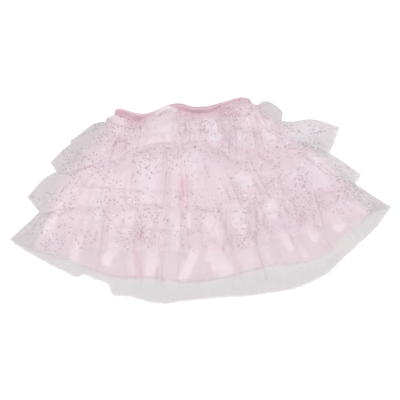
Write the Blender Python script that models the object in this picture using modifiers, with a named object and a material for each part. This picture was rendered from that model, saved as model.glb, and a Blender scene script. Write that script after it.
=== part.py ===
"""A child's tiered tulle skirt, laid flat on its back.

An elastic waistband, a flared satin lining, four gathered tulle tiers and a short ruffle at the waist.
The lowest tier is the longest: it is plain tulle, and covers the lining down to its hem and past it.
Each one is a closed ring of cloth: a front ply and a back ply that meet in a fold at either side.
The rings are nested, so the plies are laid one on another from the floor up: first the back plies,
the outermost first, then the front plies, the innermost first.

Run it with: blender --background --python part.py
Lengths below are millimetres. X runs across the skirt, Y towards the waist and Z up from the floor.
"""

from collections import namedtuple

import bmesh
import bpy
import numpy as np
from mathutils import Vector
from mathutils.bvhtree import BVHTree

METRES = 0.001

# Cloth
TULLE_WALL = 1.0
SATIN_WALL = 1.0
BAND_WALL = 1.6
CLEAR = 0.55  # between one ply and the next
FOLD_OUT = 2.0  # how far a side fold stands out from the ends of its plies
STEEP_LIE = 0.8  # slope at which a front ply comes down from what lies under it
EASE_TURNS = 6
STEEPEST = 0.55  # upward share of a ply's normal, below which its clearance grows no more

# Waistband
BAND_HEIGHT = 20.0
BACK_RISE = 3.0  # how much higher the back of the waist lies than the front
BAND_FLARE = 3.0  # how much wider its lower edge is at each side
SEAM_DROP = 11.0  # from the band's top edge to the first tier, sewn over it
LINING_DROP = 12.0  # from the band's top edge to the lining, sewn inside it
RUFFLE_TOP_DROP = [(0.0, 15.0), (0.06, 9.5), (0.2, 9.0), (0.31, 6.0), (0.38, 1.2), (0.44, 2.5),
                   (0.5, 8.0), (0.68, 8.0), (0.78, 4.5), (0.9, 2.5), (1.0, 9.0)]
# How much wider than the waistband each ring is there, at each side
AROUND = {"lining": -6.5, "waistband": 0.0, "tier_1": 8.5, "waist_ruffle": 14.5}
SEAM_OUT = 9.0  # how far outside the lining's side fold the lower tiers' seams end

# Folds
FLANK_STEPS = 4  # columns from one fold to the next on a front ply
BACK_STEPS = 1
SEAM_LIFT = 0.10  # share of a fold's lift that its gathers have at the seam
FOLD_GROWTH = 0.85  # power by which a fold opens from the seam to the hem
BACK_SHORTER = 0.035  # share by which a back ply ends above the front hem
SIDE_REACH = 4  # power by which a side's bow fades towards the middle
SETTLE_TURNS = 16
FEELER_STEPS = 6  # a ply feels for what is under it at a grid of this many steps on each triangle
PEAK_PLACES = (0.0, 0.25, 0.5, 0.75)  # and at these places along the edges of what is under it

TULLE_PINK = (0.78, 0.67, 0.72, 1.0)
SATIN_PINK = (0.87, 0.71, 0.76, 1.0)
BAND_PINK = (0.57, 0.38, 0.44, 1.0)

# Each row of RUFFLE_TOP_DROP is a share of the way across, and how far down the ruffle starts there.
# One row for each fold along a hem: where its crest meets the hem, and how high it stands there.
Fold = namedtuple("Fold", "across along lift")
Ring = namedtuple("Ring", "name seam_share rows left right hem wall colour roughness")

WAIST_TOP = [
    Fold(-126, 136, 0),
    Fold(-107, 132, 0),
    Fold(-86, 128, 0),
    Fold(-70, 131, 0),
    Fold(-47, 141, 0),
    Fold(-30, 143, 0),
    Fold(-11, 138, 0),
    Fold(10, 139, 0),
    Fold(38, 147, 0),
    Fold(62, 154, 0),
    Fold(74, 154, 0),
]

LINING_HEM = [
    Fold(-246, -69, 0),
    Fold(-219, -81, 5),
    Fold(-193, -93, 7),
    Fold(-166, -104, 5),
    Fold(-137, -114, 7),
    Fold(-104, -118, 8),
    Fold(-72, -117, 6),
    Fold(-36, -123, 8),
    Fold(0, -123, 7),
    Fold(36, -117, 8),
    Fold(68, -110, 6),
    Fold(98, -101, 8),
    Fold(133, -97, 6),
    Fold(168, -91, 7),
    Fold(196, -77, 6),
    Fold(220, -56, 6),
    Fold(238, -38, 4),
    Fold(252, -21, 0),
]

WAIST_RUFFLE_HEM = [
    Fold(-195, 87, 0),
    Fold(-190, 78, 4),
    Fold(-172, 66, 7),
    Fold(-150, 61, 6),
    Fold(-128, 59, 8),
    Fold(-101, 74, 7),
    Fold(-82, 81, 5),
    Fold(-58, 86, 9),
    Fold(-30, 84, 7),
    Fold(4, 88, 6),
    Fold(24, 80, 8),
    Fold(42, 67, 6),
    Fold(60, 59, 9),
    Fold(84, 69, 7),
    Fold(106, 61, 9),
    Fold(113, 80, 5),
    Fold(118, 100, 6),
    Fold(123, 119, 4),
    Fold(125, 132, 0),
]

TIER_1_HEM = [
    Fold(-225, 56, 0),
    Fold(-214, 42, 5),
    Fold(-184, 45, 8),
    Fold(-152, 55, 10),
    Fold(-128, 52, 8),
    Fold(-101, 67, 10),
    Fold(-66, 80, 8),
    Fold(-30, 77, 10),
    Fold(4, 82, 9),
    Fold(31, 69, 11),
    Fold(60, 53, 8),
    Fold(84, 64, 10),
    Fold(110, 55, 9),
    Fold(136, 69, 8),
    Fold(164, 71, 10),
    Fold(194, 71, 7),
    Fold(205, 92, 5),
    Fold(208, 107, 0),
]

TIER_2_HEM = [
    Fold(-260, 4, 0),
    Fold(-242, -18, 6),
    Fold(-210, -14, 9),
    Fold(-178, -9, 8),
    Fold(-146, -11, 10),
    Fold(-112, -7, 8),
    Fold(-78, -5, 10),
    Fold(-47, -7, 8),
    Fold(-22, -19, 11),
    Fold(6, -11, 8),
    Fold(38, -13, 10),
    Fold(68, -9, 8),
    Fold(98, 2, 10),
    Fold(130, 3, 8),
    Fold(162, 7, 10),
    Fold(196, 13, 8),
    Fold(233, 23, 6),
    Fold(243, 37, 0),
]

TIER_3_HEM = [
    Fold(-286, -60, 0),
    Fold(-266, -68, 5),
    Fold(-232, -75, 8),
    Fold(-200, -68, 7),
    Fold(-168, -63, 9),
    Fold(-132, -65, 8),
    Fold(-98, -69, 10),
    Fold(-62, -69, 7),
    Fold(-26, -73, 9),
    Fold(12, -76, 8),
    Fold(46, -69, 9),
    Fold(78, -57, 8),
    Fold(114, -51, 9),
    Fold(150, -45, 8),
    Fold(184, -32, 9),
    Fold(218, -24, 7),
    Fold(254, -18, 6),
    Fold(287, -11, 0),
]

TIER_4_HEM = [
    Fold(-281, -65, 0),
    Fold(-257, -78, 4),
    Fold(-230, -93, 6),
    Fold(-204, -107, 5),
    Fold(-182, -115, 6),
    Fold(-158, -120, 4),
    Fold(-138, -128, 5),
    Fold(-132, -140, 3),
    Fold(-106, -144, 6),
    Fold(-82, -151, 5),
    Fold(-55, -156, 7),
    Fold(-24, -152, 5),
    Fold(6, -150, 6),
    Fold(40, -147, 7),
    Fold(76, -145, 5),
    Fold(108, -140, 7),
    Fold(140, -133, 5),
    Fold(168, -121, 7),
    Fold(192, -108, 4),
    Fold(217, -87, 6),
    Fold(242, -64, 5),
    Fold(264, -42, 4),
    Fold(284, -16, 0),
]

# seam_share is how far down the lining's sides a tier is sewn on; left and right are the ring's side
# folds below the seam, and end at the tips of its hem.
RINGS = {
    "waist_ruffle": Ring("waist_ruffle", None, 5, [(-160, 113), (-182, 97)], [(94, 146), (104, 145)],
                         WAIST_RUFFLE_HEM, TULLE_WALL, TULLE_PINK, 0.55),
    "tier_1": Ring("tier_1", None, 6, [(-145, 111), (-168, 94), (-196, 77)], [(94, 130), (128, 117), (170, 119)],
                   TIER_1_HEM, TULLE_WALL, TULLE_PINK, 0.55),
    "tier_2": Ring("tier_2", 0.29, 6, [(-202, 48), (-231, 34)], [(172, 78), (206, 60)],
                   TIER_2_HEM, TULLE_WALL, TULLE_PINK, 0.55),
    "tier_3": Ring("tier_3", 0.59, 6, [(-242, -16)], [(234, 26)],
                   TIER_3_HEM, TULLE_WALL, TULLE_PINK, 0.55),
    "tier_4": Ring("tier_4", 0.81, 6, [(-252, -48)], [(251, -4)],
                   TIER_4_HEM, TULLE_WALL, TULLE_PINK, 0.55),
    "lining": Ring("lining", None, 7, [(-131, 110), (-188, 31)], [(77, 129), (162, 62)],
                   LINING_HEM, SATIN_WALL, SATIN_PINK, 0.35),
    "waistband": Ring("waistband", None, 2, [], [], None, BAND_WALL, BAND_PINK, 0.6),
}

# The rings from the outside in. The waistband reaches only as far down as the first tier's seam.
OUTSIDE_IN = ["waist_ruffle", "tier_1", "waistband", "tier_2", "tier_3", "tier_4", "lining"]
# Centre line of each lower tier's seam: the height of its middle along the skirt.
SEAM_MIDDLE = {"tier_2": (-28, 97), "tier_3": (-12, 9), "tier_4": (-6, -50)}


def clear_scene():
    for old in list(bpy.data.objects):
        bpy.data.objects.remove(old)


def knots_of(points):
    """Shares of the chord length at which the points lie."""
    steps = np.linalg.norm(np.diff(points, axis=0), axis=1)
    return np.concatenate([[0.0], np.cumsum(steps)]) / steps.sum()


def curve(points, share):
    """Smooth curve through the points, read at shares of its length."""
    points = np.asarray(points, float)
    share = np.asarray(share, float)
    knots = knots_of(points)
    slopes = np.gradient(points, knots, axis=0) if len(points) > 2 else np.diff(points, axis=0)[[0, 0]]
    i = np.clip(np.searchsorted(knots, share, side="right") - 1, 0, len(points) - 2)
    span = (knots[i + 1] - knots[i])[..., None]
    s = (share - knots[i])[..., None] / span
    return (
        points[i] * (2 * s**3 - 3 * s**2 + 1)
        + slopes[i] * span * (s**3 - 2 * s**2 + s)
        + points[i + 1] * (3 * s**2 - 2 * s**3)
        + slopes[i + 1] * span * (s**3 - s**2)
    )


def plan_of(folds):
    return np.array([(fold.across, fold.along) for fold in folds], float)


def waist_line(share, drop, out=0.0, rise=0.0):
    """Points along the waist, drop below the band's top edge, in a ring that is out wider at each side."""
    share = np.asarray(share, float)
    line = curve(plan_of(WAIST_TOP), share)
    middle = (WAIST_TOP[0].across + WAIST_TOP[-1].across) / 2
    half = (WAIST_TOP[-1].across - WAIST_TOP[0].across) / 2
    line[..., 0] += (line[..., 0] - middle) / half * out
    line[..., 1] += rise * np.sin(np.pi * share) - drop
    return line


def lining_side(side, share, out):
    """A point on the lining's side fold, share of the way down, moved out from it."""
    top = waist_line(0.0 if side == "left" else 1.0, LINING_DROP, AROUND["lining"])
    tip = plan_of(LINING_HEM)[0 if side == "left" else -1]
    point = curve([top, *getattr(RINGS["lining"], side), tip], share)
    return point + np.array([-out if side == "left" else out, out / 2])


def seam_of(name, share, back):
    """Points along a ring's top edge."""
    rise = BACK_RISE if back else 0.0
    if name == "waistband":
        return waist_line(share, 0.0, 0.0, rise)
    if name == "lining":
        return waist_line(share, LINING_DROP, AROUND[name], rise)
    if name == "tier_1":
        return waist_line(share, SEAM_DROP, AROUND[name], rise)
    if name == "waist_ruffle":
        at, drop = np.array(RUFFLE_TOP_DROP[:: len(RUFFLE_TOP_DROP) - 1] if back else RUFFLE_TOP_DROP).T
        return waist_line(share, np.interp(share, at, drop), AROUND[name], rise)
    down = RINGS[name].seam_share
    ends = [lining_side(side, down, SEAM_OUT) for side in ("left", "right")]
    return curve([ends[0], SEAM_MIDDLE[name], ends[1]], share)


def hem_of(name, share, back):
    """Points along a ring's lower edge."""
    if name == "waistband":
        return waist_line(share, BAND_HEIGHT, BAND_FLARE, BACK_RISE if back else 0.0)
    hem = curve(plan_of(RINGS[name].hem), share)
    if back:
        bow = np.clip(4 * share * (1 - share), 0, 1)[..., None]
        hem += (seam_of(name, share, back) - hem) * BACK_SHORTER * bow
    return hem


def plan(name, share, down, back):
    """Where a point of a ply lies, seen from above: share across it and down it."""
    share, down = np.broadcast_arrays(np.asarray(share, float), np.asarray(down, float))
    seam, hem = seam_of(name, share, back), hem_of(name, share, back)
    place = seam + (hem - seam) * down[..., None]
    for side, end, weight in (("left", 0.0, (1 - share)), ("right", 1.0, share)):
        bow_points = getattr(RINGS[name], side)
        if not bow_points:
            continue
        ends = seam_of(name, np.array(end), back), hem_of(name, np.array(end), back)
        straight = ends[0] + (ends[1] - ends[0]) * down[..., None]
        bowed = curve([ends[0], *bow_points, ends[1]], down)
        place = place + (bowed - straight) * (weight**SIDE_REACH)[..., None]
    return place


def columns_of(name, steps):
    """Shares at which a ply's columns lie: several from each fold to the next."""
    folds = WAIST_TOP if name == "waistband" else RINGS[name].hem
    knots = knots_of(plan_of(folds))
    parts = [np.linspace(a, b, steps, endpoint=False) for a, b in zip(knots[:-1], knots[1:])]
    return np.concatenate([*parts, [1.0]])


def lift_of(name, share, down):
    """Height of a front ply's folds above what it lies on: a crest at each row, a trough between rows."""
    if name == "waistband":
        return np.zeros(np.broadcast(share, down).shape)
    folds = RINGS[name].hem
    knots = knots_of(plan_of(folds))
    lifts = np.array([fold.lift for fold in folds], float)
    i = np.clip(np.searchsorted(knots, share, side="right") - 1, 0, len(folds) - 2)
    s = (share - knots[i]) / (knots[i + 1] - knots[i])
    crest = lifts[i] * (1 - s) + lifts[i + 1] * s
    wave = 0.5 + 0.5 * np.cos(2 * np.pi * s)
    return crest * wave * (SEAM_LIFT + (1 - SEAM_LIFT) * down**FOLD_GROWTH)


class Pile:
    """The plies laid so far, and the height of the topmost one under any point."""

    def __init__(self):
        self.points, self.triangles = [], []
        self.halves = []  # half the wall of each triangle's ply
        self.peaks = []  # places where a ply may come through the next one
        self.tree = None

    def add(self, ply, half, back=False):
        first = len(self.points)
        corners = triangles_between(*ply.shape[:2], back)
        self.points += [Vector(point) for point in ply.reshape(-1, 3)]
        self.triangles += [[first + corner for corner in triangle] for triangle in corners]
        self.halves += [half] * len(corners)
        for triangle in corners:
            a, b, c = (self.points[first + corner] for corner in triangle)
            self.peaks += [(a.lerp(other, at), half) for other in (b, c) for at in PEAK_PLACES]
            self.peaks += [(b.lerp(c, at), half) for at in PEAK_PLACES]
        self.tree = BVHTree.FromPolygons(self.points, self.triangles)

    def rest(self, across, along, half):
        """Height for the middle of a wall that lies here."""
        height = half
        if self.tree:
            spot, normal, index, _ = self.tree.ray_cast(Vector((across, along, 500)), Vector((0, 0, -1)))
            if spot:
                height = spot.z + (half + self.halves[index] + CLEAR) / max(abs(normal.z), STEEPEST)
        return height


def triangles_between(rows, columns, back):
    """Triangles of a sheet whose points run along each row, then down to the next."""
    made = []
    for row in range(rows - 1):
        for column in range(columns - 1):
            a = row * columns + column
            b, c, d = a + 1, a + columns, a + columns + 1
            made += [(a, c, d), (a, d, b)] if back else [(a, c, b), (b, c, d)]
    return made


def feelers():
    """Shares of a triangle's corners at each point of a grid on it."""
    steps = FEELER_STEPS
    return [(i / steps, j / steps, (steps - i - j) / steps)
            for i in range(steps + 1) for j in range(steps + 1 - i)]


def shares_in(corners, across, along):
    """The shares of a triangle's corners that give a point in it."""
    (ax, ay), (bx, by), (cx, cy) = corners[:, :2]
    whole = (by - cy) * (ax - cx) + (cx - bx) * (ay - cy)
    first = ((by - cy) * (across - cx) + (cx - bx) * (along - cy)) / whole
    second = ((cy - ay) * (across - cx) + (ax - cx) * (along - cy)) / whole
    return first, second, 1 - first - second


def settle(pile, ply, half, back):
    """Raises a ply's points until nothing of the pile comes through it."""
    points = ply.reshape(-1, 3)
    triangles = triangles_between(*ply.shape[:2], back)
    spots = [(triangle, shares) for triangle in triangles for shares in feelers()]
    places = [np.dot(shares, points[list(triangle), :2]) for triangle, shares in spots]
    needed = [pile.rest(x, y, half) for x, y in places]
    flat = BVHTree.FromPolygons([Vector((x, y, 0)) for x, y, _ in points], triangles)
    for peak, below in pile.peaks:
        spot, _, index, _ = flat.ray_cast(Vector((peak.x, peak.y, 500)), Vector((0, 0, -1)))
        if spot:
            corners = points[list(triangles[index])]
            spots.append((triangles[index], shares_in(corners, peak.x, peak.y)))
            needed.append(max(pile.rest(peak.x, peak.y, half), peak.z + half + below + CLEAR))
    corners = np.array([triangle for triangle, _ in spots])
    shares = np.array([share for _, share in spots])
    needed = np.array(needed)
    pull = shares / (shares**2).sum(axis=1, keepdims=True)
    for _ in range(SETTLE_TURNS):
        short = needed - (shares * points[corners, 2]).sum(axis=1)
        lift = np.zeros(len(points))
        np.maximum.at(lift, corners, np.clip(short, 0, None)[:, None] * pull)
        points[:, 2] += lift
    return points.reshape(ply.shape)


def ease(ply):
    """Raises the points that lie too steeply below those beside them."""
    for _ in range(EASE_TURNS):
        for grid in (ply, ply.transpose(1, 0, 2)):
            drop = STEEP_LIE * np.linalg.norm(np.diff(grid[..., :2], axis=0), axis=-1)
            high = grid[..., 2]
            for i in range(1, len(high)):
                high[i] = np.maximum(high[i], high[i - 1] - drop[i - 1])
            for i in range(len(high) - 2, -1, -1):
                high[i] = np.maximum(high[i], high[i + 1] - drop[i])
    return ply


def lay_ply(pile, name, back):
    """Lays one ply on the pile. Returns its points, as rows from the seam to the hem."""
    ring = RINGS[name]
    share = columns_of(name, BACK_STEPS if back else FLANK_STEPS)[None, :]
    down = np.linspace(0.0, 1.0, ring.rows + 1)[:, None]
    place = plan(name, share, down, back)
    high = np.array([[pile.rest(x, y, ring.wall / 2) for x, y in row] for row in place])
    if not back:
        high += lift_of(name, share, down)
    ply = settle(pile, np.dstack([place, high]), ring.wall / 2, back)
    return ply if back else ease(ply)


def side_fold(front, back, end):
    """The fold that joins two plies at one end: points half way up, a little outside both."""
    inner = 1 if end == 0 else -2
    middle = (front[:, end] + back[:, end]) / 2
    out = front[:, end, :2] - front[:, inner, :2]
    out /= np.linalg.norm(out, axis=1, keepdims=True)
    reach = np.minimum((front[:, end, 2] - back[:, end, 2]) / 2, FOLD_OUT)
    middle[:, :2] += out * reach[:, None]
    return middle


def material(name, colour, roughness):
    made = bpy.data.materials.new(name)
    made.use_nodes = True
    shader = made.node_tree.nodes["Principled BSDF"]
    shader.inputs["Base Color"].default_value = colour
    shader.inputs["Roughness"].default_value = roughness
    made.diffuse_color = colour
    return made


def make_ring(name, rows, collection):
    """A wall of cloth around the closed rows."""
    ring = RINGS[name]
    shape = bmesh.new()
    columns = rows.shape[1]
    points = [[shape.verts.new(Vector(point) * METRES) for point in row] for row in rows]
    for upper, lower in zip(points[:-1], points[1:]):
        for i in range(columns):
            j = (i + 1) % columns
            shape.faces.new((upper[i], lower[i], upper[j]))
            shape.faces.new((upper[j], lower[i], lower[j]))
    bmesh.ops.recalc_face_normals(shape, faces=shape.faces)
    mesh = bpy.data.meshes.new(name)
    shape.to_mesh(mesh)
    shape.free()
    mesh.shade_smooth()
    made = bpy.data.objects.new(name, mesh)
    made.data.materials.append(material(name, ring.colour, ring.roughness))
    collection.objects.link(made)
    wall = made.modifiers.new("wall", "SOLIDIFY")
    wall.thickness = ring.wall * METRES
    wall.offset = 0.0
    return made


def main():
    clear_scene()
    skirt = bpy.data.collections.new("tulle_skirt")
    bpy.context.scene.collection.children.link(skirt)
    pile = Pile()
    backs = {}
    for name in OUTSIDE_IN:
        backs[name] = lay_ply(pile, name, True)
        pile.add(backs[name], RINGS[name].wall / 2, back=True)
    for name in OUTSIDE_IN[::-1]:
        half = RINGS[name].wall / 2
        back, front = backs[name], lay_ply(pile, name, False)
        left, right = (side_fold(front, back, end) for end in (0, -1))
        pile.add(front, half)
        pile.add(np.stack([back[:, 0], left, front[:, 0]], axis=1), half)
        pile.add(np.stack([front[:, -1], right, back[:, -1]], axis=1), half)
        rows = [front, right[:, None], back[:, ::-1], left[:, None]]
        make_ring(name, np.concatenate(rows, axis=1), skirt)


main()
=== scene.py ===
import math
import bpy
import numpy as np
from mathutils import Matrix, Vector


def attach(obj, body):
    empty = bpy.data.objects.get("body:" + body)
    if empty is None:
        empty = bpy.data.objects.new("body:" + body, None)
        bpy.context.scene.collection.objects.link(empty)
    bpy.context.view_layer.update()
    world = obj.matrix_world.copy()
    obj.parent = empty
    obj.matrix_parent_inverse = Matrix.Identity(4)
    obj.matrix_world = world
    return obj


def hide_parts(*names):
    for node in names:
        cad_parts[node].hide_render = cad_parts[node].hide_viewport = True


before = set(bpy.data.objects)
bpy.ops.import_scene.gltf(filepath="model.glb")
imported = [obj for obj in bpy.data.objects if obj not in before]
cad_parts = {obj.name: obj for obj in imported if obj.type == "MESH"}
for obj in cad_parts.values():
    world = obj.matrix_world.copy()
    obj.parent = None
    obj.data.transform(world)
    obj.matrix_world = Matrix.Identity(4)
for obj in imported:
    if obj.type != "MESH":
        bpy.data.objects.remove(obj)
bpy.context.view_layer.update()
mm = 0.001
scene = bpy.context.scene
dice = np.random.default_rng(41)  # one seed for every scatter
print("frame loaded")

# Plan of the skirt from above, in mm: x across, y towards the waist

waist = {
    "top": [(-126, 138), (-117, 137), (-106, 133), (-86, 128), (-70, 131), (-47, 141), (-30, 143), (-11, 138),
            (10, 139), (38, 147), (62, 154), (74, 154)],
    "ruffleDrop": [(0, 15), (0.06, 9.5), (0.2, 9), (0.31, 5), (0.35, 1.5), (0.39, -1.5), (0.425, 0.5),
                   (0.47, 5.5), (0.52, 8), (0.66, 8.5), (0.71, 7), (0.75, 2.5), (0.85, 0.8), (0.925, 2),
                   (0.95, 9), (0.97, 14), (0.985, 14.5), (1, 13)],  # share of the width, mm under the top
    "backDrop": [(0, 15), (1, 13)],
    "bandHeight": 20,
    "bandFlare": 3,
    "backRise": 3,
    "endRound": 1.5,
    "endReach": 0.012,
    "drop": {"lining": 12, "tier_1": 11},
    "wider": {"lining": -6.5, "tier_1": 8.5, "waist_ruffle": 14.5},
}
backShort = 0.02  # share by which the back hems stop short of the front ones
bowFade = {"waist_ruffle": 9}  # power by which a side fold's bow fades inwards, else 4

sides = {  # the rings' side folds, between seam and hem tip
    "waist_ruffle": ([(-139, 118.5), (-150, 117), (-160, 114), (-170, 107), (-182, 97)],
                     [(89.5, 139), (91.5, 146.5), (103, 147.5), (115, 141)]),
    "tier_1": ([(-145, 112), (-170, 97), (-200, 80)], [(92, 131), (128, 118), (170, 121)]),
    "tier_2": ([(-202, 48), (-231, 34)], [(173, 80), (208, 62)]),
    "tier_3": ([(-240, -17)], [(233, 24)]),
    "tier_4": ([(-252, -48)], [(251, -4)]),
    "lining": ([(-131, 110), (-188, 31)], [(77, 129), (162, 62)]),
    "waistband": ([], []),
}

seams = {  # front and back alike
    "tier_2": [(-170, 76), (-28, 97), (128, 97)],
    "tier_3": [(-208, 18), (-12, 9), (187, 53)],
    "tier_4": [(-233, -26), (-6, -50), (227, 16)],
}

hems = {
    "waist_ruffle": [
        (-195, 87), (-190, 78), (-172, 66), (-150, 61), (-128, 59), (-101, 74), (-82, 81), (-58, 86),
        (-30, 84), (4, 88), (24, 80), (42, 67), (60, 59), (84, 69), (106, 61), (113, 80), (118, 100),
        (123, 119), (125, 132),
    ],
    "tier_1": [
        (-225, 56), (-214, 42), (-184, 45), (-152, 55), (-128, 52), (-101, 67), (-66, 80), (-30, 77), (4, 82),
        (31, 69), (60, 53), (84, 64), (110, 55), (136, 69), (164, 71), (194, 71), (205, 92), (210, 109),
    ],
    "tier_2": [
        (-260, 4), (-251, -7), (-242, -18), (-210, -14), (-178, -9), (-146, -11), (-112, -7), (-78, -5),
        (-47, -7), (-22, -19), (6, -11), (38, -13), (68, -9), (98, 2), (130, 3), (162, 7), (196, 13),
        (233, 23), (243, 37),
    ],
    "tier_3": [
        (-286, -60), (-266, -69), (-232, -80), (-200, -79), (-168, -73), (-132, -73), (-98, -77), (-62, -76),
        (-26, -78), (12, -82), (46, -79), (78, -69), (114, -60), (150, -53), (184, -41), (218, -31),
        (254, -21), (287, -11),
    ],
    "tier_4": [
        (-281, -65), (-257, -80), (-230, -95), (-204, -108), (-184, -116), (-177, -113), (-158, -120),
        (-138, -128), (-133, -142), (-106, -146), (-82, -153), (-55, -157), (-24, -153), (6, -150),
        (40, -147), (76, -145), (108, -140), (140, -135), (169, -124), (193, -110), (217, -87), (242, -64),
        (265, -42), (286, -13),
    ],
    "lining": [
        (-246, -69), (-219, -81), (-193, -93), (-166, -104), (-137, -114), (-104, -118), (-72, -117),
        (-36, -123), (0, -123), (36, -117), (68, -110), (98, -101), (133, -97), (168, -91), (196, -77),
        (220, -56), (238, -38), (252, -21),
    ],
}


def clamp(t):
    return np.clip(t, 0, 1)


def ease(t):  # soft step from 0 to 1
    t = clamp(t)
    return t * t * (3 - 2 * t)


def unit(arrow, least=0.0):
    return arrow / (np.linalg.norm(arrow, axis=-1, keepdims=True) + least)


def fromStart(steps):
    return np.concatenate([[0.0], np.cumsum(steps)])


def lengthOf(arrows):
    return np.linalg.norm(arrows, axis=-1)


def awayAlong(points):  # how far along a line each of its points is
    return fromStart(lengthOf(np.diff(points, axis=0)))


def curveThrough(points, share):  # smooth curve through points, read at shares of its length
    points, share = np.asarray(points, float), np.asarray(share, float)
    away = awayAlong(points)
    knots = away / away[-1]
    slopes = np.gradient(points, knots, axis=0) if len(points) > 2 else np.diff(points, axis=0)[[0, 0]]
    i = np.clip(np.searchsorted(knots, share, side="right") - 1, 0, len(points) - 2)
    span = (knots[i + 1] - knots[i])[..., None]
    s = (share - knots[i])[..., None] / span
    return (points[i] * (2 * s**3 - 3 * s**2 + 1) + slopes[i] * span * (s**3 - 2 * s**2 + s)
            + points[i + 1] * (3 * s**2 - 2 * s**3) + slopes[i + 1] * span * (s**3 - s**2))


def endRounding(share):  # the band's corners
    return waist["endRound"] * np.exp(-np.minimum(share, 1 - share) / waist["endReach"])


def waistLine(share, drop, out, rise):
    line = curveThrough(waist["top"], share)
    left, right = waist["top"][0][0], waist["top"][-1][0]
    line[..., 0] += (line[..., 0] - (left + right) / 2) / ((right - left) / 2) * out
    line[..., 1] += rise * np.sin(np.pi * share) - drop
    return line


def seamOf(node, share, back):
    rise = waist["backRise"] * back
    if node in seams:
        return curveThrough(seams[node], share)
    if node == "waistband":
        return waistLine(share, endRounding(share), 0, rise)
    drop = waist["drop"].get(node)
    if drop is None:
        at, drops = np.array(waist["backDrop"] if back else waist["ruffleDrop"]).T
        drop = np.interp(share, at, drops)
    return waistLine(share, drop, waist["wider"][node], rise)


def hemOf(node, share, back):
    if node == "waistband":
        hem = waistLine(share, waist["bandHeight"], waist["bandFlare"], waist["backRise"] * back)
        hem[..., 1] += endRounding(share)
        return hem
    hem = curveThrough(hems[node], share)
    if back:
        hem += (seamOf(node, share, back) - hem) * backShort * (4 * share * (1 - share))[..., None]
    return hem


def planOf(node, share, down, back):  # where a point of a ply lies
    share, down = np.broadcast_arrays(share, down)
    seam, hem = seamOf(node, share, back), hemOf(node, share, back)
    place = seam + (hem - seam) * down[..., None]
    for end, points in enumerate(sides[node]):
        if points:
            first, last = seamOf(node, np.array(end), back), hemOf(node, np.array(end), back)
            bowed = curveThrough([first, *points, last], down)
            fade = (share if end else 1 - share)**bowFade.get(node, 4)
            place = place + (bowed - first - (last - first) * down[..., None]) * fade[..., None]
    return place


# Height of what is laid so far, on a grid of cells

pile = {"cell": 1.5, "left": -312.0, "low": -180.0, "wide": 417, "tall": 241}
pile["top"] = np.full((pile["tall"], pile["wide"]), -1.2)  # the lowest ply lies just above the floor


def cellsOf(x, y):
    return (x - pile["left"]) / pile["cell"], (y - pile["low"]) / pile["cell"]


def nearestCell(x, y):  # its row and column
    i, j = (np.rint(cell).astype(int) for cell in cellsOf(x, y))
    return np.clip(j, 0, pile["tall"] - 1), np.clip(i, 0, pile["wide"] - 1)


def readPile(field, x, y):
    i, j = cellsOf(x, y)
    i, j = np.clip(i, 0, pile["wide"] - 1.001), np.clip(j, 0, pile["tall"] - 1.001)
    a, b = i.astype(int), j.astype(int)
    s, t = i - a, j - b
    return ((field[b, a] * (1 - s) + field[b, a + 1] * s) * (1 - t)
            + (field[b + 1, a] * (1 - s) + field[b + 1, a + 1] * s) * t)


def neighbours(field):
    edge = np.pad(field, 1, mode="edge")
    tall, wide = field.shape
    return np.stack([edge[b:b + tall, a:a + wide] for a in range(3) for b in range(3)])


def soften(field, turns):
    for _ in range(turns):
        field = neighbours(field).mean(axis=0)
    return field


def coverPile(points):  # adds a grid of cloth points to the pile
    steps = np.linspace(0, 1, 4)
    for s in steps:
        across = points[:, :-1] * (1 - s) + points[:, 1:] * s
        for t in steps:
            spots = across[:-1] * (1 - t) + across[1:] * t
            np.maximum.at(pile["top"], nearestCell(spots[..., 0], spots[..., 1]), spots[..., 2])


# Folds. A crease is (x at the seam, x at the hem, height, width, lean, where it starts, where it
# ends, bow), in mm and shares of the way down

folds = {
    "clear": 1.6,  # mm from a ply to what it lies on
    "backShare": 0.3,  # height of the back's folds against the front's
    "leanShare": 0.6,  # how far a crease leans against its height
    "flatEnds": 0.14,  # share of the width in which folds die down to a side fold
    "endLeft": 0.1,  # what is left of them there
    "ripple": 0.6,  # mm that a hem wavers
    "ends": (2, 0),  # a crease ends past the hem and has no bow, unless it says so
    "steeper": 1.12,  # on the side it leans to
    "gentler": 0.85,
    "crest": 0.3,  # share of a ridge that is its round top
    "grows": 0.45,  # share of the way down in which a crease rises
    "fades": 0.35,
}


def shareAt(curveOf, node, x):
    fine = np.linspace(0, 1, 401)
    return np.interp(x, curveOf(node, fine, False)[:, 0], fine)


def creaseLift(share, down, crease, hemLength):  # a soft ridge, steeper on the side it leans to
    top, hem, high, wide, lean, start, end, bow = crease
    middle = top + (hem - top) * down + bow / hemLength * np.sin(np.pi * down)
    room = wide / hemLength / 2 * (0.4 + 0.6 * down)  # narrower towards the seam
    t = (share - middle) / room
    t = np.where(t * lean > 0, t * folds["steeper"], t * folds["gentler"])
    ridge = 1 - ease((np.abs(t) - folds["crest"]) / (1 - folds["crest"]))
    return high * ridge * ease((down - start) / folds["grows"]) * ease((end - down) / folds["fades"])


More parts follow.
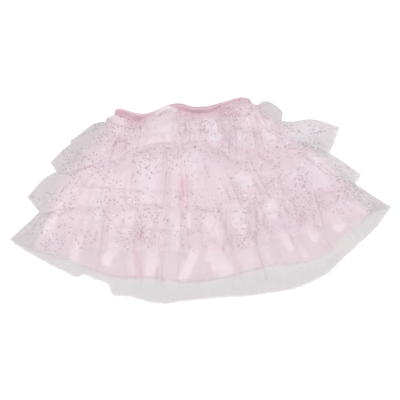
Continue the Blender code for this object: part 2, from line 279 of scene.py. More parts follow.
def foldsOf(cloth, share, down, back):  # lift, and sideways lean, of each point of a ply
    node = cloth["node"]
    hemLength = awayAlong(hemOf(node, np.linspace(0, 1, 200), False))[-1]
    lift = np.zeros_like(share + down)
    shift = np.zeros_like(lift)
    rows = [(shareAt(seamOf, node, top), shareAt(hemOf, node, hem), *rest, *folds["ends"][len(rest) - 4:])
            for top, hem, *rest in cloth["creases"]]
    for crease in rows + waves(cloth):
        ridge = creaseLift(share, down, crease, hemLength) * (folds["backShare"] if back else 1)
        lift += ridge
        shift += folds["leanShare"] * crease[4] * ridge
    if "gathers" in cloth:
        count, high, reach = cloth["gathers"]
        wander = 1.4 * np.sin(share * count * 1.9) + 0.9 * np.sin(share * count * 0.83 + 2) + 1.3 * down
        uneven = 0.65 + 0.35 * np.sin(share * count * 0.57 + 1)
        deep = high * uneven * np.exp(-down / reach) * (0.5 if back else 1)
        lift += deep * (0.5 + 0.5 * np.cos(share * count * 2 * np.pi + wander))
    if "pinch" in cloth:  # gathering thread that holds the heading down
        first, at, wide = cloth["pinch"]
        held = clamp((share - first) / 0.04) * np.exp(-((down - at) / wide)**2)
        lift, shift = lift * (1 - 0.85 * held), shift * (1 - 0.85 * held)
    if "hemFold" in cloth:  # hem turned up inside
        first, high, drop = cloth["hemFold"]
        lift += high * clamp((down - first) / 0.012)
        lift -= 0.8 if back else drop * clamp((down - 0.86) / 0.14)**2
    if "roll" in cloth:  # elastic rolled in at the top, with the casing shirred below it
        high, at, wide = cloth["roll"]
        count, deep = cloth["shirring"]
        lift += high * np.exp(-((down - at) / wide)**2)
        lift += 1.1 * np.sin(np.pi * clamp(down * 1.05))**0.7
        wander = 1.7 * np.sin(share * 31) + 1.1 * np.sin(share * 57 + 1) + 0.9 * np.sin(3 * down)
        deep = deep * (0.55 + 0.45 * np.sin(share * 43))
        lift += deep * (0.5 + 0.5 * np.cos(share * count * 2 * np.pi + wander))
    return lift, shift


lesser = {  # how the lesser folds vary, in shares or against the cloth's own values
    "from": 0.012, "to": 0.99, "slant": 0.014, "starts": (-0.45, 0.5),
    "step": (0.5, 1.7), "high": (0.3, 1.25), "wide": (0.8, 1.5),
    "runs": (0.6, 0.9),  # how far down, where one doesn't run past the hem
    "bow": 5,  # mm
}


def waves(cloth):  # the lesser folds between the main creases, uneven
    rows, at = [], lesser["from"]
    while cloth.get("waves") and at < lesser["to"]:
        spacing, high, lean = cloth["waves"]
        step = spacing * dice.uniform(*lesser["step"])
        start = dice.uniform(*lesser["starts"])
        rows.append((at + dice.normal(0, lesser["slant"]), at, high * dice.uniform(*lesser["high"]),
                     step * cloth["width"] * dice.uniform(*lesser["wide"]), dice.normal(0, lean), start,
                     dice.choice([2, start + dice.uniform(*lesser["runs"])]), dice.normal(0, lesser["bow"])))
        at += step
    return rows


def layPly(cloth, back):
    node = cloth["node"]
    columns, rows = cloth["backGrid"] if back else cloth["grid"]
    share = np.linspace(0, 1, columns)[None, :]
    down = np.linspace(0, 1, rows)[:, None]
    place = planOf(node, share, down, back)
    lift, shift = foldsOf(cloth, share, down, back)
    ends = clamp(np.minimum(share, 1 - share) / cloth.get("flatEnds", folds["flatEnds"]))
    lift, shift = lift * (folds["endLeft"] + (1 - folds["endLeft"]) * ends), shift * ends
    place = place + unit(np.gradient(place, axis=1)) * shift[..., None]
    if not back:
        ripple = cloth.get("ripple", folds["ripple"]) * down**3 * np.sin(share * 211 + 2 * np.sin(share * 61))
        crimp = np.exp(-down / 0.06) * np.sin(share * 340 + 2.5 * np.sin(share * 97))
        ripple += cloth.get("heading", 0) * crimp
        place = place + unit(np.gradient(place, axis=0), 1e-9) * ripple[..., None]
    base = neighbours(pile["top"]).max(axis=0)
    bridged = np.maximum(base, soften(base, cloth["bridge"]))  # it spans the hollows below
    high = readPile(bridged, place[..., 0], place[..., 1]) + folds["clear"] + lift
    return np.dstack([place, high])


def sideFold(front, back, end):  # three points around the fold that joins the plies
    inner = 1 if end == 0 else -2
    out = unit(front[:, end, :2] - front[:, inner, :2], 1e-9)
    reach = np.minimum((front[:, end, 2] - back[:, end, 2]) / 2, 2)
    points = []
    for turn in (0.75, 0.5, 0.25):
        point = back[:, end] * (1 - turn) + front[:, end] * turn
        point[:, :2] += out * (reach * math.sin(turn * math.pi))[:, None]
        points.append(point)
    return np.stack(points, axis=1)  # from the front ply to the back ply


def ringOf(front, back):
    left, right = sideFold(front, back, 0), sideFold(front, back, -1)
    coverPile(np.concatenate([front[:, :1], left, back[:, :1]], axis=1))
    coverPile(np.concatenate([front[:, -1:], right, back[:, -1:]], axis=1))
    return front, right, back[:, ::-1], left[:, ::-1]


def resample(back, rows):  # the back ply on as many rows as the front one
    at = np.linspace(0, len(back) - 1, rows)
    low = np.clip(at.astype(int), 0, len(back) - 2)
    return back[low] + (back[low + 1] - back[low]) * (at - low)[:, None, None]


def densityOf(ring):  # how closely the net is gathered, and how steeply it stands
    around = lengthOf(np.diff(ring, axis=1, append=ring[:, :1]))
    flat = lengthOf(np.diff(ring[..., :2], axis=1, append=ring[:, :1, :2]))
    gather = around[-1:].sum() / around.sum(axis=1, keepdims=True)
    steep = 0.6 + 0.4 * np.clip(around / np.maximum(flat, 0.35 * around), 1, 2.2)
    return gather * steep


def strokesOn(ring, strokes, sharp):  # strength of soft strokes of colour at each point
    much = np.zeros(ring.shape[:2])
    for x, y, toX, toY, wide, most in strokes:
        along = np.array([toX - x, toY - y], float)
        at = clamp(((ring[..., :2] - (x, y)) @ along) / (along @ along))
        away = lengthOf(ring[..., :2] - (x, y) - at[..., None] * along)
        away = away * (1 + 0.3 * np.sin(ring[..., 0] / 3.7 + x) * np.sin(ring[..., 1] / 4.9 + y))
        taper = 0.3 + 0.7 * np.sin(np.pi * (0.08 + 0.84 * at)) if sharp == 2 else 1
        much = np.maximum(much, most * taper * np.exp(-(away / wide)**sharp))
    return much


painted = {
    # Where the bare net looks closer: how much, then start and width of the rise in x and in y
    "closer": [(0.8, -90, -90, -130, 40), (-0.75, 95, 40, -40, 40), (0.2, 85, 15, 112, 10)],
    "rim": (5, 4.5),  # mm: how wide the hem's rim is, and how softly it starts
    "hidden": 0.08,  # how close the net is where the tier above hides it
    "behind": 0.4,  # strength of the strokes on the back
}


def addObject(data):  # named after its data
    made = bpy.data.objects.new(data.name, data)
    scene.collection.objects.link(made)
    return made


def newMesh(name, points, faces, lowest=-1):  # from points in mm, none of them lower than this
    points = np.array(points)
    points[:, 2] = np.maximum(points[:, 2], lowest)
    mesh = bpy.data.meshes.new(name)
    mesh.from_pydata((points * mm).tolist(), [], faces)
    return mesh


def clothMesh(cloth, parts):
    ring = np.concatenate(parts, axis=1)
    rows, columns = ring.shape[:2]
    row, column = np.divmod(np.arange((rows - 1) * columns), columns)
    corners = [(row, column), (row + 1, column), (row + 1, column + 1), (row, column + 1)]
    faces = np.stack([r * columns + c % columns for r, c in corners], axis=1)
    mesh = newMesh(cloth["name"], ring.reshape(-1, 3), faces.tolist())
    mesh.validate()
    mesh.shade_smooth()
    across = fromStart(lengthOf(np.diff(ring[-1], axis=0, append=ring[-1:, 0])))
    downs = fromStart(lengthOf(np.diff(ring, axis=0)).mean(axis=1))
    flat = np.stack([np.stack([across[c], -downs[r]], axis=-1) for r, c in corners], axis=1) * mm
    mesh.uv_layers.new(name="cut").data.foreach_set("uv", flat.reshape(-1).astype(np.float32))
    x, y, along = ring[..., 0], ring[..., 1], np.linspace(0, 1, rows)
    paint, tint = np.ones((2, rows, columns, 4), np.float32)
    paint[..., 0] = densityOf(ring) / 4
    rim, soft = painted["rim"]
    paint[..., 1] = clamp((along * downs[-1] - (downs[-1] - rim)) / soft)[:, None]
    if "seamFade" in cloth:  # the gathers lie flat under the tier above
        first, full = cloth["seamFade"]
        shown = ease((along - first) / (full - first))
        paint[..., 2] = (painted["hidden"] + (1 - painted["hidden"]) * shown)[:, None]
    closer = np.ones((rows, columns))
    for much, fromX, wide, fromY, tall in painted["closer"]:
        closer += much * clamp((x - fromX) / wide) * clamp((y - fromY) / tall)
    paint[..., 3] = (1 - readPile(pile["satin"], x, y)) * closer
    frontShare = np.where(np.arange(columns) < cloth["grid"][0], 1, painted["behind"])
    # first channel: painted highlights on the satin, else the light strokes, which are partly painted light
    lit = ("paintedHighlight", 8) if "paintedHighlight" in cloth else ("light", 6)
    for channel, (label, sharp) in enumerate((lit, ("paintedPinkShade", 2), ("paintedShimmer", 2), ("dim", 2))):
        tint[..., channel] = strokesOn(ring, cloth.get(label, ()), sharp) * frontShare
    # painted highlight along the band's rolled top edge
    if "paintedTopHighlight" in cloth:
        at, wide, much = cloth["paintedTopHighlight"]
        tint[..., 0] = much * np.exp(-((along[:, None] - at) / wide)**2)
    for label, values in (("clothMarks", paint), ("clothPaint", tint)):
        mesh.color_attributes.new(label, "FLOAT_COLOR", "POINT").data.foreach_set("color", values.reshape(-1))
    bare = 1 - readPile(pile["tinted"], x, y)
    mesh.attributes.new("bareNet", "FLOAT", "POINT").data.foreach_set("value", bare.reshape(-1))
    return addObject(mesh)


# The pieces of cloth. grid is columns and rows of the front ply. Strokes of colour are
# (x, y) to (x, y), half width and strength: light where the cloth lies folded double, partly painted light
# on lit panels; painted pink shade in the valleys and under the hems; painted grey shade beside it;
# painted lilac reflection where the glitter shimmers; painted highlights on the satin's flat facets

# Strokes that more than one piece has: painted shade under the hems and down the flanks
hemShade = [(-99, 65, -80, 75, 2, 0.5), (-80, 75, -56, 86, 1.8, 0.35), (85, 69, 106, 53, 1.8, 0.8),
            (39, 57, 67, 54, 2, 0.3)]
flankDim = [(-128, 108, -140, 92, 8, 0.55), (-140, 92, -166, 60, 9, 0.5), (-166, 60, -196, 28, 8, 0.45),
            (-196, 28, -206, 14, 6, 0.3), (-176, 64, -204, 54, 9, 0.5), (-188, 34, -208, 24, 9, 0.35),
            (-188, 8, -204, 2, 7, 0.3), (88, 136, 102, 126, 8, 0.4)]
hemDim = [(7, 84, 36, 63, 5, 0.8), (-62, 84, -40, 86, 3, 0.4), (-99, 66, -64, 82, 3.5, 0.35),
          (-24, 82, -8, 92, 3, 0.5), (40, 60, 62, 56, 3, 0.4)]
waistRuffle = {
    "name": "waist_ruffle_net", "node": "waist_ruffle", "slot": "glitter_tulle", "flat": (0.88, 0.06),
    "restsOn": ["elastic_waistband", "tier_1_net", "floor"], "grid": (480, 36), "backGrid": (300, 26),
    "width": 380,
    "creases": [
        (-133, -180, 1.8, 40, 0.3, 0.1), (-112, -141, 4.2, 19, 1, 0.2), (-104, -118, 2.6, 22, 0.7, 0.2),
        (-80, -86, 3.4, 24, -0.9, 0.1), (-40, -34, 3.6, 22, 0.9, 0.1), (-23, -21, 4, 14, 0.9, 0.1),
        (2, 3, 3.2, 18, -0.9, 0.2), (27, 36, 5, 22, 1.2, 0.2), (42, 46, 4.4, 18, 1, 0.1),
        (58, 66, 2.6, 24, -0.4, 0.2), (72, 87, 3.2, 22, 0.6, 0.1, 2, 2), (79, 110, 2.2, 24, 0.4, 0.1),
    ],
    "waves": (0.11, 0.8, 0.3), "gathers": (76, 1.5, 0.2), "bridge": 14, "loose": 20, "flatEnds": 0.05,
    "pinch": (0.74, 0.19, 0.05), "heading": 1.1,
    # light strokes: cloth folded double, partly painted light on the pale peak and the fan
    "light": [(-66, 132, -51, 138, 5, 1.6), (-51, 138, -38, 134, 4, 1.6), (-57, 122, -58, 98, 20, 0.7),
              (16, 114, 20, 96, 10, 1), (60, 98, 62, 86, 8, 0.6), (98, 112, 102, 88, 9, 0.45),
              (72, 114, 76, 84, 9, 0.6), (-10, 112, -8, 96, 9, 0.4)],
    # painted lilac reflection where the glitter film shimmers
    "paintedShimmer": [(14, 116, 20, 94, 11, 0.7), (42, 108, 46, 84, 8, 0.5), (-46, 118, -50, 104, 14, 0.3)],
    "dim": flankDim,
    "paintedPinkShade": [(38, 129, 88, 124, 1.8, 0.7), (36, 130, 41, 124, 5, 0.8), (45, 114, 45, 62, 1.6, 0.6),
              (74, 123, 86, 68, 1.6, 0.8), (80, 126, 102, 102, 1.6, 0.7), (-22, 119, -21, 103, 1.8, 0.8),
              (-120, 96, -136, 70, 2.6, 0.8), (-112, 86, -111, 78, 3, 0.6), (-58, 99, -52, 90, 3, 0.5),
              (33, 124, 37, 84, 2, 0.7), (-104, 116, -96, 112, 6, 0.3)],
}
tier1 = {
    "name": "tier_1_net", "node": "tier_1", "slot": "glitter_tulle", "flat": (1.02, 0.068),
    "restsOn": ["tier_2_net", "floor"], "grid": (500, 30), "backGrid": (300, 26), "width": 500,
    "creases": [
        (-127, -206, 1.8, 44, 0.2, 0.1, 2, 2), (-118, -170, 2, 36, 0.3, 0.2),
        (-100, -126, 3.2, 20, 0.8, 0.3), (-60, -76, 2.6, 26, 0.6, 0.4), (-20, -20, 2, 30, 0.4, 0.4, 2, 2),
        (14, 30, 3, 22, 0.6, 0.4), (40, 60, 3, 24, 0.6, 0.3, 2, 2), (60, 100, 3.2, 24, 0.5, 0.2),
        (68, 124, 2.6, 30, 0.3, 0.15, 2, -2), (74, 160, 1.8, 38, 0.2, 0.2), (79, 190, 1.2, 40, 0.2, 0.1),
    ],
    "waves": (0.11, 0.8, 0.3), "gathers": (84, 1.6, 0.35), "seamFade": (0, 0.12), "bridge": 20, "loose": 40,
    "light": [(104, 104, 106, 76, 14, 0.35), (122, 94, 138, 92, 11, 0.25)],
    "paintedShimmer": [(120, 95, 138, 92, 12, 0.5), (158, 110, 170, 104, 11, 0.3)],
    "paintedPinkShade": [*hemShade, (-150, 84, -136, 70, 4, 0.4), (112, 84, 118, 70, 3, 0.4)],
    "dim": [*hemDim, *flankDim, (-186, 78, -176, 62, 7, 0.35)],
}
tier2 = {
    "name": "tier_2_net", "node": "tier_2", "slot": "glitter_tulle", "flat": (1.12, 0.103),
    "restsOn": ["tier_3_net", "satin_lining", "floor"], "grid": (520, 44), "backGrid": (320, 34),
    "width": 560,
    "creases": [
        (-160, -236, 1.8, 40, 0.2, 0.2, 2, 2), (-140, -196, 2.4, 36, 0.3, 0.2),
        (-120, -158, 2.8, 30, 0.5, 0.2, 2, -3), (-97, -105, 3.4, 22, -0.8, 0.15),
        (-50, -62, 3.9, 21, 1, 0.05), (-27, -25, 4.4, 20, 1, 0.2), (-2, 2, 2.6, 26, 0.5, 0.2),
        (14, 55, 4.4, 20, 1, 0.3), (46, 98, 4.4, 20, 1, 0.25), (80, 118, 2.6, 30, 0.4, 0.3),
        (100, 150, 2.4, 36, 0.3, 0.2), (116, 196, 2.4, 36, 0.3, 0.2, 2, -2), (124, 228, 1.8, 30, 0.2, 0.2),
    ],
    "waves": (0.1, 0.8, 0.3), "gathers": (88, 1.3, 0.12), "seamFade": (0.05, 0.3), "bridge": 26, "loose": 50,
    "light": [(-80, 50, -80, 8, 14, 0.7), (-15, 66, -15, 42, 13, 0.6), (60, 33, 71, 25, 9, 0.7),
              (150, 45, 185, 28, 14, 0.7), (-132, 34, -118, 26, 14, 0.4), (-196, 10, -197, 4, 4, 0.4),
              (-152, 8, -152, -6, 11, 0.6), (190, 46, 222, 18, 8, 0.35)],
    "paintedShimmer": [(-80, 46, -80, 10, 12, 0.5), (-8, 64, 0, 50, 10, 0.8), (60, 32, 70, 26, 9, 0.8),
              (150, 45, 185, 28, 16, 0.7), (22, 40, 28, 20, 9, 0.4)],
    "dim": [*hemDim, *flankDim, (-188, 42, -176, 26, 8, 0.4), (-46, 40, -46, 16, 5, 0.3),
            (-156, 12, -148, -8, 7, 0.25)],
    "paintedPinkShade": [*hemShade, (-184, 44, -150, 58, 1.7, 1), (-128, 59, -124, 53, 4, 0.6),
              (-180, 26, -172, 21, 9, 0.4), (-52, 66, -60, 0, 1.8, 0.7), (-100, 60, -104, 15, 3, 0.4),
              (-26, 36, -25, -10, 2.6, 1), (30, 29, 51, -9, 2, 0.8), (81, 29, 97, 0, 2.2, 0.9),
              (-34, 20, -30, -6, 6, 0.4)],
}
tier3 = {
    "name": "tier_3_net", "node": "tier_3", "slot": "glitter_tulle", "flat": (1.24, 0.094),
    "restsOn": ["tier_4_net", "satin_lining", "floor"], "grid": (540, 40), "backGrid": (340, 34),
    "width": 640,
    "creases": [
        (-196, -252, 1.8, 36, 0.2, 0.1), (-176, -222, 2.4, 32, 0.4, 0.1, 2, 2),
        (-136, -154, 5.2, 19, 1.1, 0.1, 2, -2), (-112, -124, 2.6, 28, 0.5, 0.4),
        (-92, -95, 3.2, 24, 0.8, 0.1, 2, 2), (-52, -56, 4.2, 19, -1, 0), (-26, -24, 5.2, 17, 1.2, 0.1),
        (8, 10, 2.4, 28, 0.5, 0.3), (40, 41, 3.8, 19, -0.9, 0.1), (72, 76, 5.4, 19, 1.2, 0),
        (92, 104, 2.6, 26, 0.5, 0.3), (120, 140, 3, 26, 0.7, 0.2, 2, 2), (150, 178, 4.2, 20, 1, 0.3),
        (168, 206, 2.4, 32, 0.4, 0.1), (180, 242, 1.8, 30, 0.2, 0.1),
    ],
    "waves": (0.09, 0.8, 0.3), "gathers": (92, 0.9, 0.1), "seamFade": (0.12, 0.4), "bridge": 26, "loose": 50,
    "light": [(-152, -4, -150, -30, 11, 0.8), (57, -14, 60, -34, 14, 0.45), (-39, -20, -42, -72, 12, 0.5),
              (108, -8, 112, -18, 9, 0.5), (214, -8, 244, -16, 10, 0.4), (-222, -34, -226, -52, 8, 0.4),
              (-128, -52, -131, -66, 7, 0.5), (-179, -58, -183, -68, 6, 0.45), (206, 30, 252, -8, 8, 0.35)],
    "paintedShimmer": [(118, -28, 138, -46, 14, 0.5), (196, 0, 226, -12, 12, 0.4), (100, -24, 110, -30, 8, 0.4)],
    "paintedPinkShade": [(-141, 0, -150, -54, 2.2, 0.7), (-93, -42, -87, -57, 9, 0.9), (74, -3, 74, -45, 2, 0.8),
              (151, -25, 156, -29, 6, 0.9), (170, -32, 178, -48, 2.5, 0.7), (-55, -18, -55, -70, 1.8, 0.5),
              (-152, -46, -156, -62, 3, 0.7), (-25, -12, -25, -30, 2.5, 0.8), (66, -44, 80, -50, 3, 0.6),
              (-212, -12, -180, -14, 4, 0.4), (-60, -8, -40, -12, 3, 0.4)],
}
tier4 = {
    "name": "tier_4_net", "node": "tier_4", "slot": "plain_tulle", "flat": (1.29, 0.098),
    "restsOn": ["satin_lining", "floor"], "grid": (540, 44), "backGrid": (340, 36), "width": 660,
    "creases": [
        (-222, -250, 1.4, 34, 0.2, 0.1, 1.2), (-190, -214, 2, 32, 0.3, 0.1, 1.2),
        (-150, -168, 2, 32, 0.4, 0.1, 1.2, 2), (-96, -89, 3.4, 18, 1, 0.2, 0.9),
        (-58, -64, 3.6, 16, 1, 0.2, 0.9), (-30, -28, 3.4, 18, -0.9, 0.2, 0.9),
        (8, 10, 2, 34, 0.3, 0.1, 1.2), (52, 54, 2.2, 24, -0.5, 0.2, 1), (74, 99, 2.8, 22, 0.7, 0.2, 1.05),
        (112, 124, 1.6, 34, 0.2, 0.1, 1.1), (140, 160, 1.6, 30, 0.3, 0.2, 1.1),
        (158, 206, 2.4, 24, 0.6, 0.2, 1), (196, 236, 1.6, 30, 0.2, 0.2, 1.2), (-53, -53, 1.6, 9, 0.6, 0.7),
        (-40, -40, 1.6, 9, -0.6, 0.7),
    ],
    "waves": (0.1, 0.7, 0.2), "gathers": (92, 1.2, 0.12), "seamFade": (0.08, 0.28), "bridge": 22,
    "light": [(-42, -72, -45, -112, 10, 0.5), (124, -98, 232, -60, 14, 0.25)],
    "paintedShimmer": [(150, -84, 170, -90, 10, 0.4)],
    "paintedPinkShade": [(-98, -70, -90, -114, 4.5, 0.4), (78, -60, 97, -104, 2.5, 0.3), (-60, -75, -64, -116, 2.5, 0.3),
              (178, -62, 208, -88, 3, 0.3)],
}
lining = {
    "name": "satin_lining", "node": "lining", "slot": "lining", "flat": (1.1, 0.25), "area": 0.184,
    "held": "laid", "restsOn": ["tier_4_net", "floor"], "grid": (400, 100), "backGrid": (240, 60),
    "width": 560,
    "creases": [
        (-108, -212, 2, 34, -0.3, 0.4, 1.12), (-92, -172, 3, 46, 0.4, 0.4, 1.12),
        (-73, -121, 3.6, 48, 0.5, 0.4, 1.12), (-50, -61, 3.6, 50, 0.5, 0.4, 1.12),
        (-29, -4, 3.6, 48, 0.5, 0.4, 1.12, 2), (-11, 43, 3.6, 42, 0.5, 0.4, 1.12),
        (4, 84, 2.8, 36, 0.5, 0.4, 1.12), (26, 141, 3.6, 46, 0.5, 0.4, 1.12),
        (40, 180, 3, 36, 0.4, 0.4, 1.12), (54, 217, 2.6, 36, 0.3, 0.4, 1.12),
    ],
    "waves": (0.12, 0.6, 0.2), "gathers": (56, 0.7, 0.07), "bridge": 4, "ripple": 0,
    "hemFold": (0.968, 0.4, 1.6),
    "paintedPinkShade": [(-98, -70, -89, -114, 5, 0.55), (-105, -58, -90, -62, 10, 0.35), (-26, 34, -25, -14, 3.5, 1),
              (-176, 36, -192, 21, 10, 0.35), (180, -64, 207, -86, 4, 0.2), (78, -60, 96, -100, 3, 0.2),
              (-132, -113, -66, -118, 1.6, 0.6), (-64, -70, -64, -114, 3, 0.3), (85, 69, 106, 53, 3, 0.4),
              (-184, 44, -150, 58, 3, 0.5), (16, -84, 10, -117, 3, 0.4), (52, -84, 62, -108, 3, 0.35),
              (140, -62, 150, -90, 3.5, 0.4), (116, -70, 126, -96, 3, 0.35),
              (-148, -84, -156, -106, 3.5, 0.4), (-112, -84, -113, -114, 3, 0.3),
              (216, -36, 232, -44, 3, 0.35)],
    # painted highlights on the satin's flat facets
    "paintedHighlight": [(-184, -68, -190, -88, 7, 0.9), (-126, -69, -141, -93, 7.5, 1), (-69, -77, -75, -110, 9, 0.9),
              (-9, -78, -24, -116, 8, 1), (-19, -22, -17, -39, 4, 1), (21, -81, 39, -106, 13, 0.9),
              (68, -70, 76, -94, 11, 0.5), (107, -6, 110, -19, 8, 0.9), (123, -53, 135, -72, 6, 0.9),
              (162, -42, 174, -60, 6, 0.9), (201, -22, 210, -38, 10, 0.9), (240, -5, 248, -14, 6, 0.7),
              (-222, -33, -225, -54, 6, 0.6), (12, -27, 21, -48, 8, 0.5), (57, -14, 60, -33, 13, 0.4),
              (-104, -86, -103, -108, 5, 0.35), (62, -84, 70, -102, 5, 0.35), (152, -70, 160, -84, 5, 0.45),
              (98, -70, 106, -92, 4, 0.35)],
}
waistBand = {
    "name": "elastic_waistband", "node": "waistband", "slot": "waistband", "flat": (0.437, 0.021),
    "restsOn": ["satin_lining"], "grid": (460, 22), "backGrid": (240, 14), "width": 210, "creases": [],
    "bridge": 14, "ripple": 0, "flatEnds": 0.02, "roll": (1.1, 0.05, 0.05), "shirring": (64, 0.6),
    # painted highlight on the rolled top edge: where, how wide, how strong
    "paintedTopHighlight": (0, 0.06, 0.9),
    # painted shade below the band's rolled top edge and at its left end
    "paintedPinkShade": [(-122, 128, -116, 118, 3, 0.3), (-108, 121, -75, 116, 4, 0.7), (-30, 133, 10, 130, 4, 0.7),
              (10, 130, 48, 138, 4, 0.6)],
}

outsideIn = [waistRuffle, tier1, waistBand, tier2, tier3, tier4, lining]
covered = np.zeros_like(pile["top"])  # where the satin lies
for node in ("lining", "waistband"):
    plain = planOf(node, np.linspace(0, 1, 700)[None, :], np.linspace(0, 1, 400)[:, None], False)
    covered[nearestCell(plain[..., 0], plain[..., 1])] = 1
height = np.arange(pile["tall"]) * pile["cell"] + pile["low"]


def widened(left, right):  # the satin's plan, wider or narrower by cells at each height
    wider = np.zeros_like(covered)
    for row, cells in enumerate(map(np.flatnonzero, covered)):
        if len(cells):
            wider[row, cells[0] - int(left[row]):cells[-1] + int(right[row]) + 1] = 1
    return wider


leftTint = np.interp(height, (-40, 22, 54, 97, 125), (0, 9, 6, 2, 2))
rightTint = np.interp(height, (-40, 22, 54, 87, 110, 122, 134), (2, 7, 11, 14, 18, 16, 9))
pile["tinted"] = soften(widened(leftTint, rightTint), 26)  # where the net takes the satin's pink
narrow = np.interp(height, (-110, -20, 40), (0, -7, -13))
pile["satin"] = soften(widened(narrow, narrow), 7)  # where nothing hides the satin below
for cloth in outsideIn:
    cloth["back"] = resample(layPly(cloth, True), cloth["grid"][1])
    coverPile(cloth["back"])
for cloth in outsideIn[::-1]:
    cloth["front"] = layPly(cloth, False)
    coverPile(cloth["front"])
    cloth["piece"] = clothMesh(cloth, ringOf(cloth["front"], cloth["back"]))
    print("laid", cloth["name"])


# Shader groups

def feed(tree, socket, value):  # sets a value, or links the socket of another node
    if isinstance(value, bpy.types.NodeSocket):
        tree.links.new(value, socket)
    else:
        socket.default_value = (*value, 1) if isinstance(value, tuple) else value


def feedAll(tree, sockets, values):  # an underscore stands for a space
    for label, value in values.items():
        feed(tree, sockets[label.replace("_", " ")], value)


def addNode(tree, kind, settings=None, **inputs):
    node = tree.nodes.new("ShaderNode" + kind)
    for label, value in (settings or {}).items():
        setattr(node, label, value)
    feedAll(tree, node.inputs, inputs)
    return node


def mathNode(tree, operation, *values):
    node = addNode(tree, "Math", {"operation": operation})
    for socket, value in zip(node.inputs, values):
        feed(tree, socket, value)
    return node.outputs[0]


def mixTo(tree, colour, target, share):
    return addNode(tree, "Mix", {"data_type": "RGBA"}, Factor=share, A=colour, B=target).outputs["Result"]


def newGroup(name, inputs, outputs):  # inputs with their values, outputs with their kinds
    group = bpy.data.node_groups.new(name, "ShaderNodeTree")
    for label, value in inputs.items():
        kind = "NodeSocketColor" if isinstance(value, tuple) else "NodeSocketFloat"
        feed(group, group.interface.new_socket(name=label, in_out="INPUT", socket_type=kind), value)
    for label, kind in outputs.items():
        group.interface.new_socket(name=label, in_out="OUTPUT", socket_type="NodeSocket" + kind)
    return group, group.nodes.new("NodeGroupInput").outputs, group.nodes.new("NodeGroupOutput").inputs


def netWeaveGroup():  # small holes between the strands, see-through by how closely they lie
    group, given, result = newGroup("netWeave", {"Scale": 850, "Cover": 0.3, "Density": 1},
                                    {"Alpha": "Float", "Height": "Float"})
    cut = addNode(group, "UVMap", {"uv_map": "cut"})
    cells = addNode(group, "TexVoronoi", {"feature": "DISTANCE_TO_EDGE"}, Vector=cut.outputs["UV"],
                    Scale=given["Scale"], Randomness=0.25)
    strand = addNode(group, "MapRange", Value=cells.outputs["Distance"], From_Min=0.02, From_Max=0.16,
                     To_Min=1.4, To_Max=0.7).outputs[0]
    cover = mathNode(group, "MINIMUM", mathNode(group, "MULTIPLY", strand, given["Cover"]), 0.9)
    passed = mathNode(group, "POWER", mathNode(group, "SUBTRACT", 1, cover), given["Density"])
    feed(group, result["Alpha"], mathNode(group, "SUBTRACT", 1, passed))
    feed(group, result["Height"], strand)
    return group


def clothTintGroup():  # slow drifts of colour over the cloth
    group, given, result = newGroup("clothTint", {"Colour": (1, 1, 1), "Shade": (1, 1, 1), "Glow": (1, 1, 1),
                                                  "Patch": 14, "Amount": 0.5},
                                    {"Colour": "Color", "Patches": "Float"})
    place = addNode(group, "TexCoord").outputs["Object"]
    colour, masks = given["Colour"], []
    for target, detail, low in (("Shade", 3, 0.35), ("Glow", 1, 0.5)):
        cloud = addNode(group, "TexNoise", {"noise_dimensions": "4D"}, W=detail, Detail=detail, Vector=place,
                        Scale=given["Patch"]).outputs["Fac"]
        masks.append(addNode(group, "MapRange", Value=cloud, From_Min=low, From_Max=low + 0.25).outputs[0])
        share = mathNode(group, "MULTIPLY", masks[-1], given["Amount"])
        colour = mixTo(group, colour, given[target], share)
    feed(group, result["Colour"], colour)
    feed(group, result["Patches"], masks[0])
    return group


def threadWeaveGroup():
    group, given, result = newGroup("threadWeave", {"Across": 3000, "Along": 3000}, {"Height": "Float"})
    cut = addNode(group, "UVMap", {"uv_map": "cut"})
    parts = addNode(group, "SeparateXYZ", Vector=cut.outputs["UV"]).outputs
    warp, weft = (mathNode(group, "SINE", mathNode(group, "MULTIPLY", parts[axis], given[way]))
                  for axis, way in (("X", "Across"), ("Y", "Along")))
    over = mathNode(group, "MAXIMUM", warp, weft)
    feed(group, result["Height"], mathNode(group, "MULTIPLY_ADD", over, 0.5, 0.5))
    return group


netWeave, clothTint, threadWeave = netWeaveGroup(), clothTintGroup(), threadWeaveGroup()


# Materials

def newMaterial(name, **values):
    made = bpy.data.materials.new(name)
    made.use_nodes = True
    shader = made.node_tree.nodes["Principled BSDF"]
    feedAll(made.node_tree, shader.inputs, values)
    return made, made.node_tree, shader.inputs


def useGroup(tree, group, **values):
    return addNode(tree, "Group", {"node_tree": group}, **values).outputs


def useTint(tree, look, amount):
    return useGroup(tree, clothTint, Colour=look["colour"], Shade=look["shade"], Glow=look["glow"],
                    Patch=look["patch"], Amount=amount)


def addBump(tree, shader, height, strength, distance):
    bump = addNode(tree, "Bump", Strength=strength, Distance=distance, Height=height)
    feed(tree, shader["Normal"], bump.outputs["Normal"])


def attributeOf(tree, name):
    return addNode(tree, "Attribute", {"attribute_name": name}).outputs


def paintOf(tree, name):  # the four values painted on the cloth under this name
    spot = attributeOf(tree, name)
    return [*addNode(tree, "SeparateColor", Color=spot["Color"]).outputs, spot["Alpha"]]


